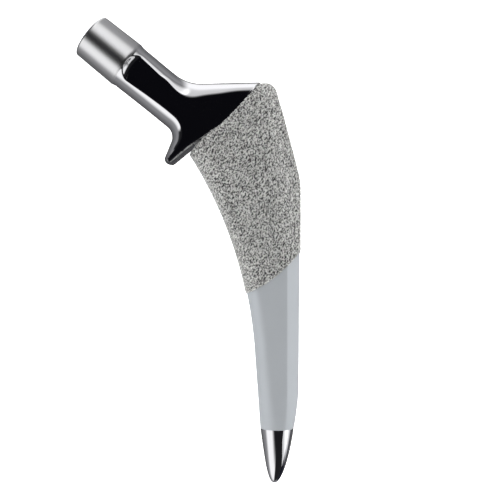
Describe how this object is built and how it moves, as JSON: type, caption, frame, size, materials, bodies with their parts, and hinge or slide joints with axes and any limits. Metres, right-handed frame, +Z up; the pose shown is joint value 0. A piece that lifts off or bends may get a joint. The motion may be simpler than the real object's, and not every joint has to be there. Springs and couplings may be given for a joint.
{
  "type": "hip implant stem",
  "caption": "Collared femoral stem for a total hip replacement: head taper, polished neck with milled flats, porous-coated body, blasted shaft and bullet tip.",
  "frame": {"origin": "middle of the bounding box's bottom, on the plane the stem lies on", "axes": "+Y from the distal tip towards the shoulder, +X to the lateral side, away from the head taper, and +Z up out of the wide face that the picture shows"},
  "size_m": [0.0644, 0.1336, 0.0143],
  "materials": {
    "polished_metal": "mirror polished titanium alloy on the neck, shoulder, collar and bullet tip",
    "blasted_metal": "fine grit-blasted satin on the distal shaft",
    "porous_coating": "rough plasma-sprayed porous titanium on the proximal body"
  },
  "bodies": {
    "root": {"hip_stem": "polished_metal"}
  },
  "joints": []
}
